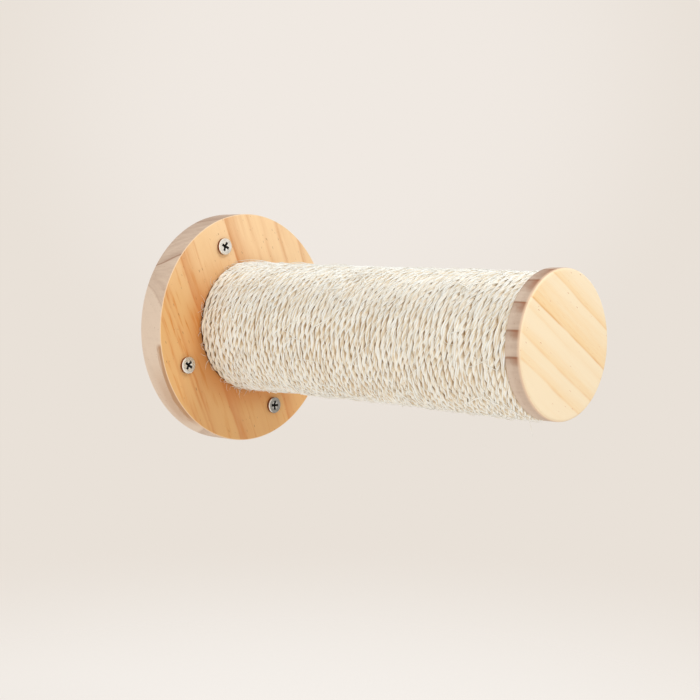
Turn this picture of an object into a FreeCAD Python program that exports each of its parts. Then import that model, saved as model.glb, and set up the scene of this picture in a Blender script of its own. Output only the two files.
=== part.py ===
"""Wall-mounted cat scratching post: a round pine plate, a rope-wound pine core and a pine end cap.

Sizes are in millimetres. The origin is the centre of the plate's back face, the wall is the plane
y = 0, the post points along -Y and +Z is up. The post's own axis is the line x = z = 0.
"""
import FreeCAD
import Part
import math
import os

Vec = FreeCAD.Vector

# Base plate, turned from pine board
base_diameter = 140.0
base_thickness = 18.0
base_edge_chamfer = 1.0

# Post core, a solid pine dowel between the plate and the cap
core_diameter = 60.0
post_length = 225.0

# End cap, a pine disc that just covers the rope
cap_thickness = 10.0
cap_lip = 0.2
cap_edge_chamfer = 1.0

# Sisal rope, one right-hand layer: each lap lies level for half a turn and climbs for the other
# half, and both tails bend into radial holes in the core
rope_diameter = 8.6
rope_lap_gap = 0.55
rope_most_laps = 24
rope_core_clearance = 0.2
rope_end_clearance = 0.3
rope_hole_clearance = 0.4
rope_bend_radius = 9.0
rope_start_angle = 84.0

# Wall screws, countersunk, with their heads standing a little proud of the plate
screw_count = 4
screw_circle_diameter = 108.0
screw_first_angle = 22.0
screw_head_diameter = 10.0
screw_head_rim = 0.9
screw_head_bevel = 0.35
screw_head_proud = 2.0
screw_shank_diameter = 3.7
screw_thread_diameter = 5.0
screw_thread_setback = 0.3
screw_wall_reach = 20.0
screw_tip_length = 5.0
screw_hole_clearance = 0.25
screw_seat_clearance = 0.1

# Cross recess of the wall screws, and how far each screw was last turned
recess_span = 5.4
recess_floor_span = 2.0
recess_width = 1.3
recess_depth = 2.6
recess_turns = (30.0, 65.0, 45.0, 75.0)

# Clamp bolt, washer and threaded insert that pull the core onto the plate
bolt_diameter = 8.0
bolt_head_flats = 13.0
bolt_head_height = 5.3
bolt_head_recess = 0.7
bolt_hole_clearance = 0.5
bolt_end_gap = 2.0
washer_diameter = 24.0
washer_thickness = 2.0
washer_pocket_clearance = 0.5
insert_diameter = 12.0
insert_length = 25.0
insert_end_gap = 0.5
insert_chamfer = 0.8
fit_clearance = 0.05

# Beech dowels that stop the core and the cap from turning
base_dowel_diameter = 8.0
base_dowel_offset = 20.0
base_dowel_in_plate = 9.0
base_dowel_in_core = 20.0
cap_dowel_diameter = 6.0
cap_dowel_offset = 18.0
cap_dowel_in_cap = 6.0
cap_dowel_in_core = 18.0
dowel_end_gap = 0.5
dowel_chamfer = 0.8

# Planes and radii that the sizes above give
plate_front = -base_thickness
cap_back = plate_front - post_length
cap_front = cap_back - cap_thickness
core_radius = core_diameter / 2
rope_radius = rope_diameter / 2
rope_path_radius = core_radius + rope_core_clearance + rope_radius
cap_radius = rope_path_radius + rope_radius + cap_lip
pocket_depth = bolt_head_recess + bolt_head_height + washer_thickness


def turned(profile, x=0.0, z=0.0):
    """Solid of revolution about the line along Y through (x, z), from pairs of radius and y."""
    points = [Vec(x + radius, y, z) for radius, y in profile]
    face = Part.Face(Part.makePolygon(points + points[:1]))
    return face.revolve(Vec(x, 0, z), Vec(0, 1, 0), 360)


def rod(radius, start, end, x=0.0, z=0.0, chamfer=0.0):
    """Round bar along Y from start to end, with both ends chamfered."""
    inset = math.copysign(chamfer, end - start)
    profile = [(0, start), (radius - chamfer, start), (radius, start + inset)]
    profile += [(radius, end - inset), (radius - chamfer, end), (0, end)]
    if not chamfer:
        profile = [(0, start), (radius, start), (radius, end), (0, end)]
    return turned(profile, x, z)


def screw_places():
    """Centre (x, z) and recess turn of each wall screw, anticlockwise seen from the room."""
    places = []
    for index in range(screw_count):
        angle = math.radians(screw_first_angle + 360.0 * index / screw_count)
        radius = screw_circle_diameter / 2
        turn = recess_turns[index % len(recess_turns)]
        places.append((radius * math.cos(angle), radius * math.sin(angle), turn))
    return places


def dowel_places(offset):
    """Place along X of each dowel of a pair, seen from the room."""
    return {"left": -offset, "right": offset}


def screw_hole(x, z):
    """Clearance hole with a shallow countersink for the head's cone."""
    hole = screw_thread_diameter / 2 + screw_hole_clearance
    rim_above = screw_head_proud - screw_head_rim
    mouth = screw_head_diameter / 2 - rim_above + screw_seat_clearance
    cone_end = plate_front + max(mouth - hole, 0)
    profile = [(0, 0), (hole, 0), (hole, cone_end), (max(mouth, hole), plate_front), (0, plate_front)]
    return turned(profile, x, z)


def base_plate():
    """Round plate with the screw holes, the bolt's hole and pocket, and the dowel holes."""
    blank = rod(base_diameter / 2, 0, plate_front, chamfer=base_edge_chamfer)
    cuts = [
        rod(bolt_diameter / 2 + bolt_hole_clearance, 0, plate_front),
        rod(washer_diameter / 2 + washer_pocket_clearance, 0, -pocket_depth),
    ]
    depth = base_dowel_in_plate + dowel_end_gap
    for x in dowel_places(base_dowel_offset).values():
        cuts.append(rod(base_dowel_diameter / 2 + fit_clearance, plate_front, plate_front + depth, x))
    for x, z, _ in screw_places():
        cuts.append(screw_hole(x, z))
    return blank.cut(cuts)


def cross_recess(x, z, top, turn):
    """Two tapered wings at right angles, sunk from the head's top."""
    wings = []
    for quarter in (0.0, 90.0):
        outline = [
            Vec(-recess_span / 2, top, -recess_width / 2),
            Vec(recess_span / 2, top, -recess_width / 2),
            Vec(recess_floor_span / 2, top + recess_depth, -recess_width / 2),
            Vec(-recess_floor_span / 2, top + recess_depth, -recess_width / 2),
        ]
        wing = Part.Face(Part.makePolygon(outline + outline[:1])).extrude(Vec(0, 0, recess_width))
        wing.rotate(Vec(0, 0, 0), Vec(0, -1, 0), turn + quarter)
        wing.translate(Vec(x, 0, z))
        wings.append(wing)
    return wings


def wall_screw(x, z, turn):
    """Countersunk screw: bevelled head, smooth shank in the plate, thread and point in the wall."""
    head = screw_head_diameter / 2
    shank = screw_shank_diameter / 2
    thread = screw_thread_diameter / 2
    top = plate_front - screw_head_proud
    rim = top + screw_head_rim
    body = turned([
        (0, top),
        (head - screw_head_bevel, top),
        (head, top + screw_head_bevel),
        (head, rim),
        (shank, rim + head - shank),
        (shank, screw_thread_setback),
        (thread, screw_thread_setback),
        (thread, screw_wall_reach - screw_tip_length),
        (0, screw_wall_reach),
    ], x, z)
    return body.cut(cross_recess(x, z, top, turn))


def clamp_washer():
    """Flat washer on the pocket's floor."""
    disc = rod(washer_diameter / 2, -pocket_depth, -pocket_depth + washer_thickness)
    return disc.cut(rod(bolt_diameter / 2 + bolt_hole_clearance, -pocket_depth, 0))


def clamp_bolt():
    """Hexagon bolt from the back of the plate into the insert."""
    seat = -pocket_depth + washer_thickness
    corner = bolt_head_flats / math.sqrt(3)
    angles = [math.radians(60 * index) for index in range(6)]
    points = [Vec(corner * math.cos(angle), seat, corner * math.sin(angle)) for angle in angles]
    hexagon = Part.Face(Part.makePolygon(points + points[:1])).extrude(Vec(0, bolt_head_height, 0))
    end = plate_front - insert_length + bolt_end_gap
    shank = rod(bolt_diameter / 2, seat, end)
    return hexagon.fuse(shank).removeSplitter()


def threaded_insert():
    """Brass sleeve, flush with the core's end, that takes the bolt's thread."""
    bore = bolt_diameter / 2 + fit_clearance
    sleeve = rod(insert_diameter / 2, plate_front, plate_front - insert_length, chamfer=insert_chamfer)
    return sleeve.cut(rod(bore, plate_front, plate_front - insert_length))


def base_dowel(x):
    """Dowel between the plate and the core."""
    start = plate_front + base_dowel_in_plate
    end = plate_front - base_dowel_in_core
    return rod(base_dowel_diameter / 2, start, end, x, chamfer=dowel_chamfer)


def cap_dowel(x):
    """Dowel between the core and the cap."""
    start = cap_back + cap_dowel_in_core
    end = cap_back - cap_dowel_in_cap
    return rod(cap_dowel_diameter / 2, start, end, x, chamfer=dowel_chamfer)


def end_cap():
    """Round cap, blind-drilled for its dowels."""
    blank = rod(cap_radius, cap_back, cap_front, chamfer=cap_edge_chamfer)
    depth = cap_dowel_in_cap + dowel_end_gap
    cuts = []
    for x in dowel_places(cap_dowel_offset).values():
        cuts.append(rod(cap_dowel_diameter / 2 + fit_clearance, cap_back, cap_back - depth, x))
    return blank.cut(cuts)


def rope_laps():
    """Number of laps, and the climb from each to the next, between the plate and the cap."""
    travel = post_length - 2 * (rope_end_clearance + rope_radius)
    laps = min(rope_most_laps, int(travel // (rope_diameter + rope_lap_gap)) + 1)
    return laps, travel / (laps - 1)


def winding_frame(half_turns):
    """Point, direction of travel and outward radius on the winding, after so many half turns."""
    angle = math.radians(rope_start_angle) + math.pi * half_turns
    out = Vec(math.cos(angle), 0, math.sin(angle))
    along = Vec(-math.sin(angle), 0, math.cos(angle))
    y = plate_front - rope_end_clearance - rope_radius - rope_laps()[1] * (half_turns // 2)
    return out * rope_path_radius + Vec(0, y, 0), along, out


def arc_through(start, corner, end):
    """Circular arc from start to end whose end tangents meet at corner."""
    weight = (end - start).Length / (2 * (corner - start).Length)
    middle = (start + corner * (2 * weight) + end) * (1 / (2 + 2 * weight))
    return Part.Arc(start, middle, end).toShape()


def biarc(start, start_way, end, end_way):
    """Two tangent arcs that leave start along start_way and reach end along end_way."""
    chord = end - start
    ways = start_way + end_way
    turn = 2 * (1 - start_way.dot(end_way))
    reach = (math.sqrt(chord.dot(ways) ** 2 + turn * chord.dot(chord)) - chord.dot(ways)) / turn
    first = start + start_way * reach
    last = end - end_way * reach
    joint = (first + last) * 0.5
    return [arc_through(start, first, joint), arc_through(joint, last, end)]


def rope_tail(point, away, out):
    """Bend from the winding towards the core's axis, then a straight tail in a radial hole."""
    turn = math.acos(-rope_bend_radius / (rope_path_radius - rope_bend_radius))
    centre = point - out * rope_bend_radius

    def on_bend(angle):
        return centre + (out * math.cos(angle) + away * math.sin(angle)) * rope_bend_radius

    inward = away * math.cos(turn) - out * math.sin(turn)
    bend = Part.Arc(point, on_bend(turn / 2), on_bend(turn)).toShape()
    return bend, on_bend(turn), inward


def rope_tails(extra=0.0):
    """Edges of the tail at the plate and of the tail at the cap, each from the winding inwards."""
    tails = []
    for half_turns, sense in ((0, -1), (2 * rope_laps()[0] - 1, 1)):
        point, along, out = winding_frame(half_turns)
        bend, mouth, inward = rope_tail(point, along * sense, out)
        end = mouth + inward * (rope_diameter + extra)
        tails.append([bend, Part.makeLine(mouth, end)])
    return tails


def tube(edges, radius):
    """Round solid swept along tangent edges."""
    path = Part.Wire(Part.__sortEdges__(edges))
    first = path.OrderedEdges[0]
    start = path.OrderedVertexes[0].Point
    near_end = (first.valueAt(first.FirstParameter) - start).Length < 1e-6
    way = first.tangentAt(first.FirstParameter if near_end else first.LastParameter)
    section = Part.Wire(Part.makeCircle(radius, start, way))
    return path, path.makePipeShell([section], True, False)


def rope_edges():
    """Every edge of the rope's middle line, from tail to tail."""
    plate_tail, cap_tail = rope_tails()
    edges = list(plate_tail)
    for half in range(2 * rope_laps()[0] - 1):
        point, along, _ = winding_frame(half)
        next_point, next_along, _ = winding_frame(half + 1)
        edges += biarc(point, along, next_point, next_along)
    return edges + list(cap_tail)


def least_gap(path):
    """Least air between two stretches of the rope that are over a third of a turn apart."""
    step = rope_diameter / 4
    points = path.discretize(Distance=step)
    skip = int(2 * math.pi * rope_path_radius / 3 / step)
    nearest = min(
        (a - b).Length
        for index, a in enumerate(points)
        for b in points[index + skip:index + 6 * skip]
    )
    return nearest - rope_diameter


def sisal_rope():
    """The wound rope, one unbroken tube from the hole near the plate to the hole near the cap."""
    path, rope = tube(rope_edges(), rope_radius)
    laps, climb = rope_laps()
    section = math.pi * rope_radius ** 2
    print("rope: %d laps, climb %.2f mm, length %.0f mm" % (laps, climb, path.Length))
    print("rope: least gap to itself %.2f mm" % least_gap(path))
    print("rope: volume %.0f, section times length %.0f mm3" % (rope.Volume, section * path.Length))
    return rope


def post_core():
    """Solid dowel, drilled for the insert, the dowels and the rope's two tails."""
    blank = rod(core_radius, plate_front, cap_back)
    insert_end = plate_front - insert_length - insert_end_gap
    cuts = [rod(insert_diameter / 2 + fit_clearance, plate_front, insert_end)]
    for x in dowel_places(base_dowel_offset).values():
        end = plate_front - base_dowel_in_core - dowel_end_gap
        cuts.append(rod(base_dowel_diameter / 2 + fit_clearance, plate_front, end, x))
    for x in dowel_places(cap_dowel_offset).values():
        end = cap_back + cap_dowel_in_core + dowel_end_gap
        cuts.append(rod(cap_dowel_diameter / 2 + fit_clearance, cap_back, end, x))
    for edges in rope_tails(extra=rope_hole_clearance):
        cuts.append(tube(edges, rope_radius + rope_hole_clearance)[1])
    return blank.cut(cuts)


def main():
    """Build every piece and write one STEP file for each."""
    nodes = {
        "base_plate": base_plate(),
        "post_core": post_core(),
        "sisal_rope": sisal_rope(),
        "end_cap": end_cap(),
        "clamp_bolt": clamp_bolt(),
        "clamp_washer": clamp_washer(),
        "threaded_insert": threaded_insert(),
    }
    for place, x in dowel_places(base_dowel_offset).items():
        nodes["base_dowel_" + place] = base_dowel(x)
    for place, x in dowel_places(cap_dowel_offset).items():
        nodes["cap_dowel_" + place] = cap_dowel(x)
    for number, (x, z, turn) in enumerate(screw_places(), start=1):
        nodes["wall_screw_%d" % number] = wall_screw(x, z, turn)
    os.makedirs("parts", exist_ok=True)
    for name, shape in nodes.items():
        shape.exportStep(os.path.join("parts", name + ".step"))
        print("%s: valid %s, %.1f cm3" % (name, shape.isValid(), shape.Volume / 1000))


main()
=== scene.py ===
"""Wall-mounted cat scratching post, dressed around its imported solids.

Sizes are in metres. The wall is the plane y = 0, the post points along -Y and +Z is up.
"""

import math
from contextlib import contextmanager
from types import SimpleNamespace

import bpy
import numpy as np
from bpy.props import FloatProperty, FloatVectorProperty, IntProperty, PointerProperty
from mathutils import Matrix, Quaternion, Vector


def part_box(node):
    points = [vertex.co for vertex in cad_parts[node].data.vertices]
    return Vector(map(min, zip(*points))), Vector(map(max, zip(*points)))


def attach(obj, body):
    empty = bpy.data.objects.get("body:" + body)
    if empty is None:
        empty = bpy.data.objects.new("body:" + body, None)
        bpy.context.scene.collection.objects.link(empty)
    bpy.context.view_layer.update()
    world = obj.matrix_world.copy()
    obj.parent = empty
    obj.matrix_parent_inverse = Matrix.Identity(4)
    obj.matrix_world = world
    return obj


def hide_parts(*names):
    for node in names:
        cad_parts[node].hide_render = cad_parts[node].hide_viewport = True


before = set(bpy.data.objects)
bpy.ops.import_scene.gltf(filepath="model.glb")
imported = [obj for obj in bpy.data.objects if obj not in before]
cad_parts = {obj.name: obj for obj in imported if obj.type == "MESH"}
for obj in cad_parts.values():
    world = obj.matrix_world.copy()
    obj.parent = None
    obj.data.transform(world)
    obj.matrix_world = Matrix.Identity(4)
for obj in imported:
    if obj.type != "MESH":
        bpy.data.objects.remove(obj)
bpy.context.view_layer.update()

bl_info = {
    "name": "Cat Scratching Post",
    "version": (1, 0, 0),
    "blender": (4, 5, 0),
    "location": "View3D > Sidebar > Scratcher",
    "description": "Pine discs, sisal winding and hardware of a wall-mounted scratching post",
    "category": "Object",
}

MM = 0.001

# Places that the solids give
plate_low, plate_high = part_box("base_plate")
cap_low, cap_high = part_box("end_cap")
_, core_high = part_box("post_core")
plate_radius = plate_high.x
plate_front = plate_low.y
cap_radius = cap_high.x
cap_back = cap_high.y
cap_front = cap_low.y
core_radius = core_high.x
post_length = plate_front - cap_back

# The same in millimetres, for the materials
plate_front_mm = plate_front / MM
cap_back_mm = cap_back / MM

# How far cutters reach past what they cut, radii of the bolt and of the holes, and play of the dowels
CUT_PAST = 1.0 * MM
BOLT_RADIUS = 4.0 * MM
BOLT_HOLE = 4.5 * MM
SCREW_HOLE = 2.75 * MM
DOWEL_PLAY = 0.05 * MM
DOWEL_END = 0.5 * MM

# The twine's first turn starts at this angle; the level end turns climb in a short stretch, and the
# tails sink into the core behind the post
START_ANGLE = math.radians(84)
CLIMB_TURNS = 0.2
TAIL_TURNS = 0.14
TAIL_SINK = 7 * MM

# How far from the plate the winding's swell has faded to about a third
SWELL_REACH = 30 * MM

# Every so many of the stray fibres, one is long or stands in a tuft; each tuft beside the plate has an
# angle and a spread in degrees
LONG_STEP = 13
TUFT_STEP = 27
TUFTS = ((-100, 12), (178, 18), (-92, 8), (60, 10), (190, 30), (-110, 10), (100, 60))

# Turn of each screw's recess in degrees, and how bright its head is: a painted reflection, as each head
# mirrors other surroundings
SCREWS = ((30.0, 0.95), (65.0, 1.25), (54.0, 1.1), (86.0, 0.45))

# Growth rings of the two boards: place across the grain in mm, darkness and half width of the thin
# line, darkness of the tone beside it, and how far that tone reaches, with its side as the sign
PLATE_RINGS = (
    (-61.0, 0.5, 1.3, 0.25, 5.0),
    (-54.5, 0.6, 1.5, 0.35, 2.1),
    (-51.8, 0.75, 1.6, 0.35, 6.0),
    (-33.2, 0.3, 1.0, 0.8, 12.0),
    (-20.5, 1.0, 0.5, 0.0, 2.0),
    (8.6, 0.85, 1.3, 0.6, 16.5),
    (26.0, 0.2, 2.0, 0.25, 6.0),
    (35.0, 0.25, 2.0, 0.25, 6.0),
    (46.0, 0.35, 2.0, 0.3, 7.0),
    (60.0, 0.8, 1.6, 0.4, 7.0),
)
PLATE_RIM_RINGS = (
    (-58.0, 0.35, 0.8, 0.0, 5.0),
    (-31.5, 1.0, 0.9, 0.35, 8.0),
    (7.0, 0.9, 0.7, 0.4, 12.0),
    (30.0, 0.6, 0.8, 0.4, 10.0),
    (55.0, 0.6, 0.8, 0.4, 10.0),
)
CAP_RINGS = (
    (-24.0, 0.3, 1.2, 0.5, 8.0),
    (-13.0, 0.3, 1.2, 0.5, 8.0),
    (0.0, 0.1, 2.0, 0.25, 5.0),
    (6.0, 1.0, 0.8, 0.7, 18.0),
    (25.0, 0.35, 1.0, 0.6, 8.0),
)
CAP_RIM_RINGS = (
    (-24.3, 0.9, 0.7, 0.7, -4.0),
    (-13.0, 0.9, 0.7, 0.8, -5.0),
    (1.8, 1.0, 0.7, 0.9, -7.0),
    (17.0, 0.9, 1.0, 0.9, -9.0),
    (28.0, 0.8, 0.8, 0.8, -9.0),
)


def tone(red, green, blue):
    """Linear colour of an 8-bit screen colour."""
    return tuple(((shade / 255 + 0.055) / 1.055) ** 2.4 for shade in (red, green, blue))


def colour(name, description, *shade):
    """Colour property with an 8-bit screen colour as its default."""
    return FloatVectorProperty(
        name=name, description=description, subtype="COLOR", min=0, max=1, default=tone(*shade)
    )


def length(name, description, millimetres):
    """Length property with its default in millimetres."""
    return FloatProperty(
        name=name, description=description, unit="LENGTH", precision=5, default=millimetres * MM
    )


def direction(name, description, degrees):
    """Angle property with its default in degrees."""
    return FloatProperty(
        name=name, description=description, subtype="ANGLE", default=math.radians(degrees)
    )


def quantity(name, description, default, **more):
    """Number property, whole or not as its default."""
    kind = IntProperty if isinstance(default, int) else FloatProperty
    return kind(name=name, description=description, default=default, **more)


class ScratcherWood(bpy.types.PropertyGroup):
    """Pine of the plate, the cap and the core."""

    edge_round: length("Edge rounding", "Radius of the plate's sanded edges", 0.5)
    cap_round: length("Cap rounding", "Radius of the cap's sanded edges", 1.6)
    plate_grain: direction("Plate grain", "Direction of the plate's grain from level", -67.5)
    cap_grain: direction("Cap grain", "Direction of the cap's grain from level", -32.4)
    plate_early: colour("Plate early wood", "Heart side of the plate", 229, 178, 117)
    plate_sap: colour("Plate sapwood", "Paler upper side of the plate", 252, 214, 166)
    plate_late: colour("Plate late wood", "Broad dark tones of the plate", 214, 146, 90)
    plate_flame: colour("Plate streaks", "Orange streaks of the plate", 214, 136, 60)
    plate_line: colour("Plate ring lines", "Thin ring lines of the plate", 206, 120, 46)
    cap_early: colour("Cap early wood", "Pale wood of the cap", 254, 233, 199)
    cap_late: colour("Cap late wood", "Broad dark tones of the cap", 250, 208, 146)
    cap_line: colour("Cap ring lines", "Thin ring lines of the cap", 228, 166, 98)
    pin: colour("Pin marks", "Small dark marks in the grain", 142, 80, 38)
    plate_rim: colour("Plate rim", "Pale end grain on the plate's rim", 230, 208, 188)
    cap_rim: colour("Cap rim", "Pale end grain on the cap's rim", 213, 192, 174)
    rim_edge: colour("Rim edge", "Warm wood where a rim turns into a face", 241, 208, 177)
    rim_late: colour("Rim late wood", "Dark end grain on the rims", 181, 152, 132)
    rim_band: colour("Rim heartwood", "Brown wood low on the plate's rim", 184, 138, 98)
    stain_and_shade: colour("Stain", "Red-brown wood beside the rings on the cap's rim", 158, 96, 62)
    rim_line: colour("Rim ring lines", "Thin ring lines on the rims", 142, 94, 64)
    # Partly sanded wood and partly painted highlight: the pale line along the sanded edges
    edge: colour("Sanded edge", "Bare wood on the sanded edges", 250, 226, 192)
    core: colour("Core wood", "Turned wood of the hidden core", 222, 188, 140)
    dowel: colour("Dowel wood", "Beech of the hidden dowels", 212, 170, 124)


class ScratcherRope(bpy.types.PropertyGroup):
    """Two-ply sisal twine and its winding."""

    pitch: length("Pitch", "Step from one turn to the next", 3.75)
    ply_radius: length("Ply radius", "Radius of one ply of the twine", 1.05)
    ply_offset: length("Ply offset", "Height of a ply's middle over the twine's middle", 0.4)
    ply_spread: length("Ply spread", "Distance of a ply's middle to the side of the twine's middle", 0.68)
    yarn_radius: length("Yarn radius", "Radius of the fibre bundles on a ply", 0.43)
    yarn_twist: quantity("Yarn twist", "Twist of the bundles beside the plies' own", 0.34)
    lay: length("Lay", "Length in which the plies make one full twist", 11.8)
    waist_radius: length("Waist radius", "Outside radius of the winding at mid-length", 38.1)
    plate_swell: length("Plate swell", "Extra radius of the turns beside the plate", 1.5)
    plate_gap: length("Plate gap", "Open seam between the plate and the first turn", 0.8)
    lean_plate: length("Lean at the plate", "Rise of the winding's axis at the plate", 1.5)
    lean_cap: length("Lean at the cap", "Rise of the winding's axis at the cap", -1.5)
    step: length("Step", "Distance between two rings of a ply's mesh", 1.5)
    fibres: quantity("Fibres", "Number of stray fibres", 1700, min=0)
    seed: quantity("Seed", "Seed of the winding's unevenness", 7)
    crown: colour("Crown", "Sisal where the plies stand out", 255, 254, 249)
    shade: colour("Shade", "Straw streaks in the sisal", 247, 241, 229)
    ply: colour("Ply", "Cream fibre between the bundles", 251, 244, 230)
    inner: colour("Inner fibre", "Straw-coloured fibre under the bundles", 227, 210, 180)
    # Painted shadow: this dark colour lies in the seam between the plate and the first turn, and on the
    # twine beside the plate
    seam: colour("Seam", "Dark seam beside the plate", 74, 42, 22)
    # Partly the tan of fibre deep in the twine and partly painted shade in the hollows between plies and
    # turns
    gap: colour("Gap", "Sisal deep between the turns", 204, 172, 127)
    # Painted shade: a greyer colour laid in a band high on the winding, below its top
    shoulder_shade: colour("Dull", "Greyer fibre on the winding's shoulders", 210, 204, 194)


class ScratcherMetal(bpy.types.PropertyGroup):
    """Screws, bolt, washer and insert."""

    thread_pitch: length("Thread pitch", "Step of the wall screws' thread", 2.2)
    thread_depth: length("Thread depth", "Height of the wall screws' thread", 0.75)
    recess_span: length("Recess span", "Width of the cross recess at the head's top", 5.8)
    recess_width: length("Recess width", "Thickness of the cross recess's wings", 1.75)
    recess_depth: length("Recess depth", "Depth of the cross recess", 2.4)
    zinc: colour("Zinc", "Plated steel", 228, 228, 224)
    # Painted shade and reflection: the brown on a screw head's side, near the plate
    stain_and_shade: colour("Stain", "Brown grime where a screw head meets the wood", 118, 62, 30)
    # Painted shade: the near-black laid in the cross recess
    recess: colour("Recess", "Dirt in the cross recess", 26, 22, 19)
    brass: colour("Brass", "Turned brass of the insert", 205, 168, 96)


class ScratcherStage(bpy.types.PropertyGroup):
    """Camera, light and background."""

    camera_place: FloatVectorProperty(
        name="Camera place", description="Where the camera stands", subtype="TRANSLATION",
        default=(-0.57728, -0.64407, 0.04895),
    )
    camera_azimuth: direction("Azimuth", "Turn of the camera about the vertical", -46.91)
    camera_elevation: direction("Elevation", "How far the camera looks down", 4.25)
    camera_roll: direction("Roll", "Turn of the camera about its line of sight", -0.13)
    lens: quantity("Lens", "Focal length on a 36 mm sensor", 70.52, subtype="DISTANCE_CAMERA")
    floor_height: length("Floor height", "Height of the floor under the post", -300)
    background: colour("Background", "Backdrop behind the post", 233, 225, 216)
    glow: colour("Glow", "Brighter middle of the backdrop", 240, 233, 226)
    glow_heading: FloatVectorProperty(
        name="Glow heading", description="Direction of the backdrop's brighter middle",
        subtype="DIRECTION", default=(0.7251, 0.6783, 0.1188),
    )
    floor: colour("Floor", "Pale floor under the post", 247, 242, 237)
    key_power: quantity("Key light", "Power of the key light", 6.95, unit="POWER")
    fill_power: quantity("Fill light", "Power of the fill light", 2.0, unit="POWER")
    sky: quantity("Sky", "Strength of the even light from all sides", 0.74)
    key_tint: colour("Key tint", "Cool white of the key light", 240, 248, 255)
    sky_tint: colour("Sky tint", "Warm white of the even light", 255, 252, 246)


class Value:
    """A shader socket that arithmetic can be written on."""

    def __init__(self, finish, socket):
        self.finish = finish
        self.socket = socket

    def compute(self, operation, *terms):
        return self.finish.add("ShaderNodeMath", {"operation": operation}, terms)

    def largest(self, other):
        return self.compute("MAXIMUM", self, other)

    def __add__(self, other):
        return self.compute("ADD", self, other)

    def __sub__(self, other):
        return self.compute("SUBTRACT", self, other)

    def __rsub__(self, other):
        return self.compute("SUBTRACT", other, self)

    def __mul__(self, other):
        return self.compute("MULTIPLY", self, other)

    def __pow__(self, other):
        return self.compute("POWER", self, other)

    __radd__ = __add__
    __rmul__ = __mul__


class Finish:
    """A procedural material or world, built node by node."""

    def __init__(self, owner, shader):
        owner.use_nodes = True
        self.owner = owner
        self.tree = owner.node_tree
        self.shader = self.tree.nodes[shader]

    def feed(self, socket, value):
        """Link or set one socket."""
        if isinstance(value, Value):
            self.tree.links.new(value.socket, socket)
        elif socket.type == "RGBA":
            socket.default_value = (*tuple(value)[:3], 1)
        else:
            socket.default_value = value

    def add(self, kind, settings=None, inputs=(), output=0):
        """Add a node: its settings first, then the values or links of its sockets."""
        node = self.tree.nodes.new(kind)
        for key, value in (settings or {}).items():
            if key == "stops":
                while len(node.color_ramp.elements) < len(value):
                    node.color_ramp.elements.new(1)
                for element, (place, grey) in zip(node.color_ramp.elements, value):
                    element.position = place
                    element.color = (grey, grey, grey, 1)
            else:
                setattr(node, key, value)
        for key, value in inputs.items() if isinstance(inputs, dict) else enumerate(inputs):
            self.feed(node.inputs[key], value)
        return Value(self, node.outputs[output])

    def split(self, vector):
        """The three parts of a vector."""
        return [self.add("ShaderNodeSeparateXYZ", inputs=[vector], output=axis) for axis in "XYZ"]

    def place(self):
        """Object coordinates in millimetres, as three values."""
        point = self.add("ShaderNodeTexCoord", output="Object")
        scale = {"Vector": point, "Scale": 1 / MM}
        return self.split(self.add("ShaderNodeVectorMath", {"operation": "SCALE"}, scale))

    def noise(self, x, y, z, detail=2.0, roughness=0.5):
        """Noise over three coordinates that already hold their own scale."""
        point = self.add("ShaderNodeCombineXYZ", inputs=[x, y, z])
        return self.add(
            "ShaderNodeTexNoise",
            inputs={"Vector": point, "Scale": 1.0, "Detail": detail, "Roughness": roughness},
        )

    def smooth(self, value, low, high, start=0.0, end=1.0):
        """Soft step from start at low to end at high."""
        return self.add(
            "ShaderNodeMapRange", {"interpolation_type": "SMOOTHSTEP"}, [value, low, high, start, end]
        )

    def mix(self, factor, first, second):
        """Blend of two colours."""
        return self.add(
            "ShaderNodeMix", {"data_type": "RGBA"}, {0: factor, 6: first, 7: second}, output=2
        )

    def bump(self, height, depth):
        """Surface relief of a height from 0 to 1, with its depth in metres."""
        relief = self.add("ShaderNodeBump", inputs={"Strength": 1.0, "Distance": depth, "Height": height})
        self.feed(self.shader.inputs["Normal"], relief)

    def blend(self, factor, other, output=None, first=None):
        """Mix another shader over the first one, and lead it to an output if one is named."""
        first = first or Value(self, self.shader.outputs[0])
        mixed = self.add("ShaderNodeMixShader", inputs=[factor, first, other])
        if output:
            self.feed(self.tree.nodes[output].inputs["Surface"], mixed)
        return mixed

    def set(self, **sockets):
        """Set or link the shader's own sockets, with spaces for underscores."""
        for name, value in sockets.items():
            self.feed(self.shader.inputs[name.replace("_", " ")], value)
        return self.owner


def new_finish(name):
    """Material with a plain shader to build on, and its object coordinates in millimetres."""
    finish = Finish(bpy.data.materials.new(name), "Principled BSDF")
    return finish, *finish.place()


def scaled(shade, factor):
    """Lighter or darker colour, held below white."""
    return tuple(min(1, factor * part) for part in shade)


def ring_maps(finish, place, rings, half_width):
    """Thin dark lines of a board's rings, and the tones beside them."""
    lines = [(-half_width, 0.0)]
    tones = [(-half_width, 0.0)]
    for middle, line, width, dark, reach in rings:
        lines += [(middle - width, 0.0), (middle, line), (middle + width, 0.0)]
        tones += [(middle - math.copysign(0.5, reach), 0.0), (middle, dark), (middle + reach, 0.0)]
    spot = (place + half_width) * (0.5 / half_width)
    maps = []
    for stops in (lines, tones):
        stops = sorted(((edge + half_width) / (2 * half_width), grey) for edge, grey in stops)
        maps.append(finish.add("ShaderNodeValToRGB", {"stops": stops}, [spot]))
    return maps


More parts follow.
